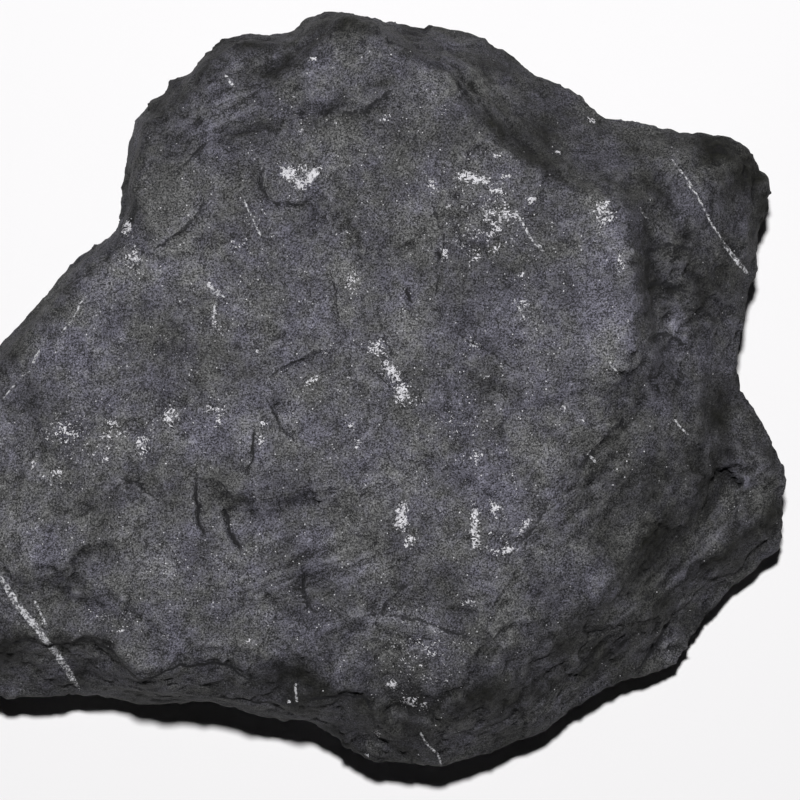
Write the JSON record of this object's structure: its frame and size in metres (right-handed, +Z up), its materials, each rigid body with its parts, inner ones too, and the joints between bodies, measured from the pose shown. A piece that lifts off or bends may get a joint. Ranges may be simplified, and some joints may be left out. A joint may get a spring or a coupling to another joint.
{
  "type": "raw shungite slab",
  "caption": "Rough broken slab of matt charcoal-black shungite rock with a nearly level upper face, steep chipped flanks and thin white veins, lying on its flattest side.",
  "frame": {"origin": "on the surface that the stone rests on, below the middle of its bounding box", "axes": "+X along the stone's length, towards its stepped eastern end; +Y across it; +Z up"},
  "size_m": [0.109, 0.0944, 0.03],
  "materials": {
    "stone": "matte"
  },
  "bodies": {
    "root": {"shungite": "stone"}
  },
  "joints": []
}
